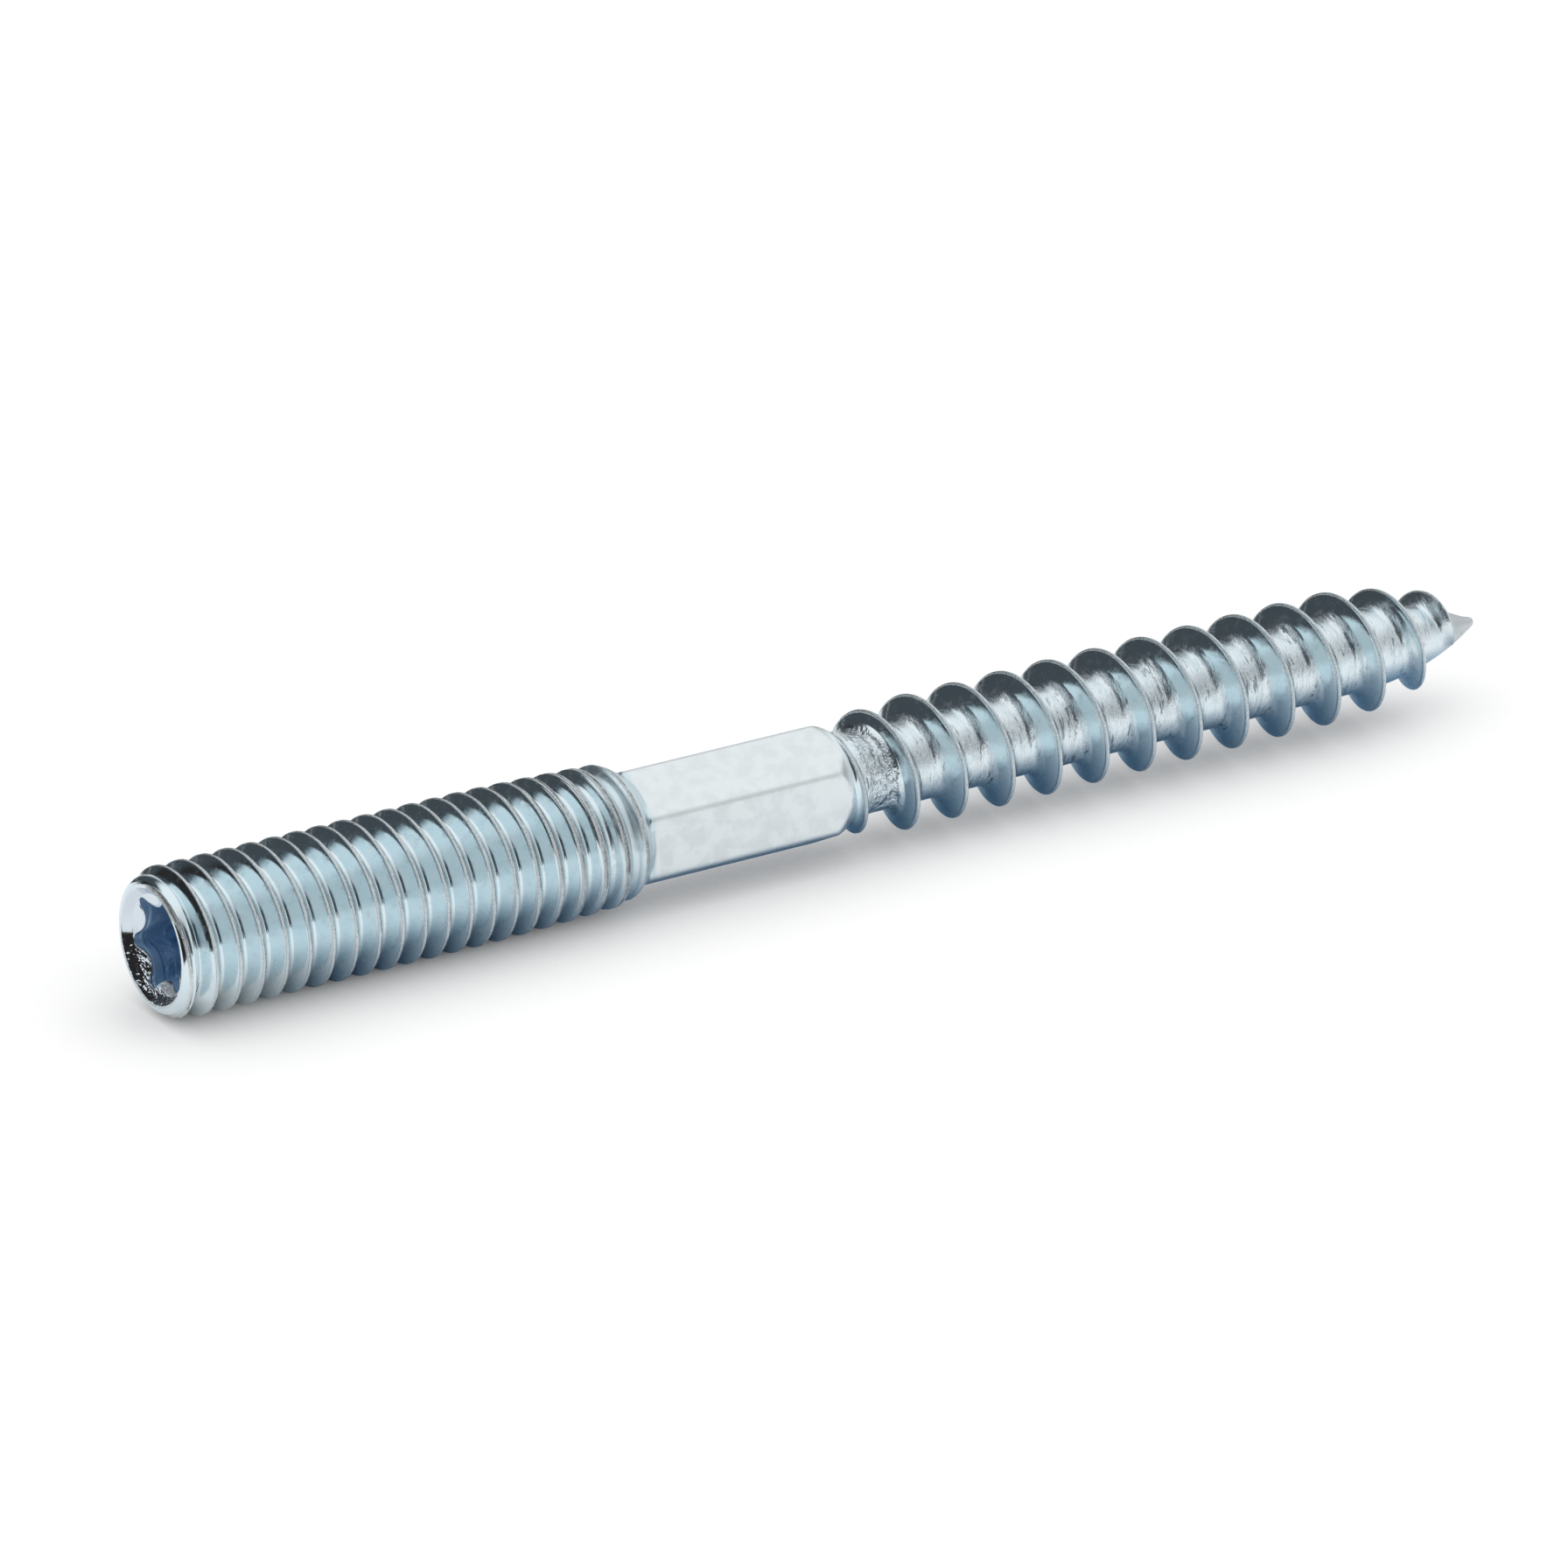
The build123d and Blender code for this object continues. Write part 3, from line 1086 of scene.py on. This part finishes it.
@dataclass(frozen=True)
class Card:
    """A dark card that shows only in the bolt's reflections, with its sizes in mm."""

    name: str
    colour: Colour
    width: float
    height: float
    soft_edge: float
    place: Matrix

    def build(self) -> None:
        """Set the card up."""
        mesh = bmesh.new()
        bmesh.ops.create_grid(mesh, x_segments=1, y_segments=1, size=0.5)
        bmesh.ops.scale(mesh, vec=(self.width, self.height, 1.0), verts=mesh.verts[:])
        scaled = Matrix.Scale(MILLIMETRE, 4) @ self.place
        bmesh.ops.transform(mesh, matrix=scaled, verts=mesh.verts[:])
        card = new_object(self.name, mesh)
        card.data.materials.append(self._material())
        card.visible_camera = card.visible_shadow = card.visible_diffuse = False

    def _material(self) -> bpy.types.Material:
        """Make the matt card, clear along its edges where it has a soft edge.

        Returns:
            The card's material.
        """
        material, graph = new_material(self.name)
        surface = graph.node("ShaderNodeBsdfPrincipled", inputs={
            "Base Color": self.colour, "Roughness": 1.0, "Specular IOR Level": 0.0,
        }).outputs[0]
        if self.soft_edge:
            centre = graph.node("ShaderNodeVectorMath", {"operation": "SUBTRACT"}, {
                0: graph.node("ShaderNodeTexCoord").outputs["Object"],
                1: self.place.translation * MILLIMETRE,
            })
            axes = graph.node("ShaderNodeSeparateXYZ", inputs={0: centre.outputs[0]})
            solid = 1.0
            for axis, reach in enumerate((self.width / 2, self.height / 2)):
                off = abs(Signal(graph, axes.outputs[axis])) / MILLIMETRE
                solid = graph.step(off, reach, max(reach - self.soft_edge, 0.0)) * solid
            clear = graph.node("ShaderNodeBsdfTransparent").outputs[0]
            surface = graph.node(
                "ShaderNodeMixShader", inputs={0: solid, 1: clear, 2: surface},
            ).outputs[0]
        graph.node("ShaderNodeOutputMaterial", inputs={"Surface": surface})
        return material


@dataclass(frozen=True)
class Studio:
    """The pale floor, the dark cards around the bolt and the world's soft light."""

    floor_level: float = -2.95
    floor_size: float = 1600.0
    floor_middle: float = 30.0
    floor_white: float = 0.40
    floor_lift: float = 0.76
    shadow_reach: float = 6.0
    shadow_power: float = 0.6
    overhead: float = 1.06
    wall: float = 0.78
    horizon: float = 0.92
    dark_wall: float = 0.085
    dark_tint: Colour = (0.80, 0.90, 1.0)

    def build(self) -> None:
        """Set up the world, the floor and the cards."""
        self._world()
        self._floor()
        for card in self._cards():
            card.build()

    def _cards(self) -> tuple[Card, ...]:
        """Return the cards in front of the socket, under the wood thread and behind. The bluish
        card underneath is a painted shadow: seen only in reflections, it stands in for the floor's
        shade beneath the bolt.
        """
        upright = Matrix.Rotation(radians(90), 4, "Y") @ Matrix.Rotation(radians(90), 4, "Z")
        return (
            Card(
                "flag_at_socket", (0.05, 0.045, 0.045), 21.0, 11.0, 0.0,
                Matrix.Translation((-6.6, 4.5, 2.0)) @ Matrix.Rotation(radians(-14), 4, "X")
                @ upright,
            ),
            # Painted shadow: a bluish card on the floor under the bolt, seen only in reflections,
            # in place of the floor's shade there
            Card(
                "painted_shadow_card", (0.32, 0.51, 0.71), 62.0, 12.0, 6.0,
                Matrix.Translation((32.5, 0.4, self.floor_level + 0.05)),
            ),
            Card(
                "flag_behind", (0.10, 0.11, 0.12), 500.0, 400.0, 14.0,
                Matrix.Translation((0.0, 225.0, self.floor_level + 0.1)),
            ),
        )

    def _world(self) -> None:
        """Surround the bolt with a long soft light overhead and walls, pale and dark.

        The light is shaped on a flat ceiling at a height of 1, along the bolt and across it.
        """
        world = bpy.data.worlds.new("studio")
        world.use_nodes = True
        bpy.context.scene.world = world
        graph = Graph(world.node_tree)
        axes = graph.node("ShaderNodeSeparateXYZ", inputs={
            0: graph.node("ShaderNodeTexCoord").outputs["Generated"],
        })
        along, across, up = (Signal(graph, axes.outputs[k]) for k in range(3))
        rise = graph.maths("MAXIMUM", up, 0.001)
        ceiling_x, ceiling_y = along / rise, across / rise
        # The light is a little towards the far side, with soft edges all round
        overhead = graph.step(abs(ceiling_y - 0.22), 0.85, 0.25)
        overhead = overhead * graph.step(ceiling_x, -1.7, -0.6) * graph.step(ceiling_x, 3.2, 2.0)
        # The studio is dark behind the bolt and past its socket end, up to the light
        behind = graph.step(along, 0.45, 0.15) * graph.step(across, -0.2, 0.1)
        dark = graph.maths("MAXIMUM", behind, graph.step(along, 0.25, 0.0))
        dark = dark * graph.step(up, 0.85, 0.6)
        wall = self.wall + (self.horizon - self.wall) * graph.step(up, 0.25, 0.0)
        wall = wall + (self.dark_wall - wall) * dark
        background = graph.node("ShaderNodeBackground", inputs={
            "Color": graph.blend(dark * (1.0 - overhead), (1.0, 1.0, 1.0), self.dark_tint),
            "Strength": wall + (self.overhead - wall) * overhead,
        })
        graph.node("ShaderNodeOutputWorld", inputs={"Surface": background.outputs[0]})

    def _floor(self) -> None:
        """Lay the pale floor, which looks white to the camera and keeps the bolt's shadow."""
        mesh = bmesh.new()
        size = self.floor_size * MILLIMETRE
        bmesh.ops.create_grid(mesh, x_segments=1, y_segments=1, size=size / 2)
        place = Vector((self.floor_middle, 0, self.floor_level)) * MILLIMETRE
        bmesh.ops.translate(mesh, verts=mesh.verts[:], vec=place)
        floor = new_object("floor", mesh)
        material, graph = new_material("pale_floor")
        rays = graph.node("ShaderNodeLightPath").outputs
        seen = Signal(graph, rays["Is Camera Ray"]) + Signal(graph, rays["Is Glossy Ray"])
        seen = seen + Signal(graph, rays["Is Transmission Ray"])
        open_sky = graph.node("ShaderNodeAmbientOcclusion", {"samples": 8}, {
            "Distance": self.shadow_reach * MILLIMETRE,
        })
        seen = seen * Signal(graph, open_sky.outputs["AO"]) ** self.shadow_power
        shader = graph.node("ShaderNodeBsdfPrincipled", inputs={
            "Base Color": (self.floor_white,) * 3, "Roughness": 1.0, "Specular IOR Level": 0.0,
            "Emission Color": (1.0, 1.0, 1.0), "Emission Strength": seen * self.floor_lift,
        })
        graph.node("ShaderNodeOutputMaterial", inputs={"Surface": shader.outputs[0]})
        floor.data.materials.append(material)


@dataclass(frozen=True)
class StudioCamera:
    """The camera at the photograph's viewing angle, with its distances in mm."""

    azimuth: float = 32.04
    elevation: float = 23.352
    roll: float = 0.1425
    distance: float = 500.0
    lens: float = 298.3
    sensor: float = 36.0
    centre: float = 30.0
    right: float = -1.801
    up: float = -0.163

    def build(self) -> None:
        """Place the camera and make it the scene's own."""
        turn, lift, roll = radians(self.azimuth), radians(self.elevation), radians(self.roll)
        ahead = Vector((cos(lift) * sin(turn), cos(lift) * cos(turn), -sin(lift)))
        side = Vector((cos(turn), -sin(turn), 0.0))
        above = side.cross(ahead)
        target = Vector((self.centre, 0, 0)) + self.right * side + self.up * above
        side, above = cos(roll) * side + sin(roll) * above, cos(roll) * above - sin(roll) * side
        data = bpy.data.cameras.new("photo_camera")
        data.lens = self.lens
        data.sensor_width = self.sensor
        data.clip_start = 0.01
        camera = bpy.data.objects.new("photo_camera", data)
        turned = Matrix((side, above, -ahead)).transposed().to_4x4()
        stand = (target - self.distance * ahead) * MILLIMETRE
        camera.matrix_world = Matrix.Translation(stand) @ turned
        bpy.context.scene.collection.objects.link(camera)
        bpy.context.scene.camera = camera


def main() -> None:
    """Build the camera, the bolt and the studio."""
    logging.basicConfig(level=logging.INFO, format="%(message)s")
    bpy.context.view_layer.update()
    bpy.context.scene.view_settings.view_transform = "Standard"
    StudioCamera().build()
    hanger_bolt = HangerBolt()
    hanger_bolt.dress(hanger_bolt.build())
    Studio().build()
    log.info("studio and camera are set")


if __name__ == "__main__":
    main()
